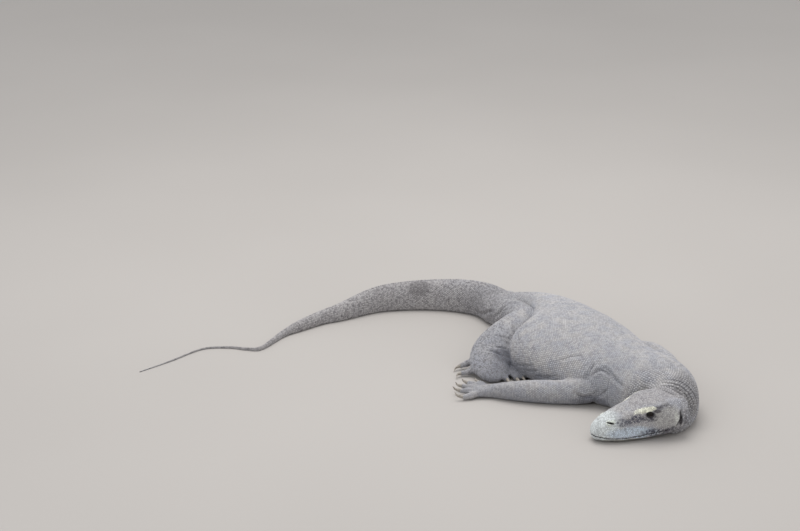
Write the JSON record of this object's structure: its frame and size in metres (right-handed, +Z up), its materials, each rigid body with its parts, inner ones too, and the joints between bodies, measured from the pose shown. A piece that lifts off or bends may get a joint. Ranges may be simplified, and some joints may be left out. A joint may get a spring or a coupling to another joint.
{
  "type": "komodo dragon model",
  "caption": "Komodo dragon lying flat on its belly with its head bent back beside its right shoulder, arms laid back and tail trailing.",
  "frame": {"origin": "floor point under the middle of the whole animal's bounding box", "axes": "+Z up; the belly's contact with the floor is z=0; +X runs along the longest extent, from the tail's tip towards the head and shoulders; the head's left side and the right flank face -Y"},
  "size_m": [1.2412, 0.8902, 0.1362],
  "materials": {
    "hide": "dry scaly hide, dusty grey",
    "claw": "worn dark horn",
    "eye": "wet, dark brown"
  },
  "bodies": {
    "root": {"chest": "hide", "claw_foot_left_1": "claw", "claw_foot_left_2": "claw", "claw_foot_left_3": "claw", "claw_foot_left_4": "claw", "claw_foot_left_5": "claw", "claw_foot_right_1": "claw", "claw_foot_right_2": "claw", "claw_foot_right_3": "claw", "claw_foot_right_4": "claw", "claw_foot_right_5": "claw", "claw_hand_left_1": "claw", "claw_hand_left_2": "claw", "claw_hand_left_3": "claw", "claw_hand_left_4": "claw", "claw_hand_left_5": "claw", "claw_hand_right_1": "claw", "claw_hand_right_2": "claw", "claw_hand_right_3": "claw", "claw_hand_right_4": "claw", "claw_hand_right_5": "claw", "eye_left": "eye", "eye_right": "eye", "foot_left": "hide", "foot_right": "hide", "forearm_left": "hide", "forearm_right": "hide", "hand_left": "hide", "hand_right": "hide", "head": "hide", "lower_jaw": "hide", "neck": "hide", "pelvis": "hide", "shank_left": "hide", "shank_right": "hide", "tail_base": "hide", "tail_end": "hide", "tail_middle": "hide", "tail_tip": "hide", "thigh_left": "hide", "thigh_right": "hide", "trunk": "hide", "upper_arm_left": "hide", "upper_arm_right": "hide"}
  },
  "joints": []
}
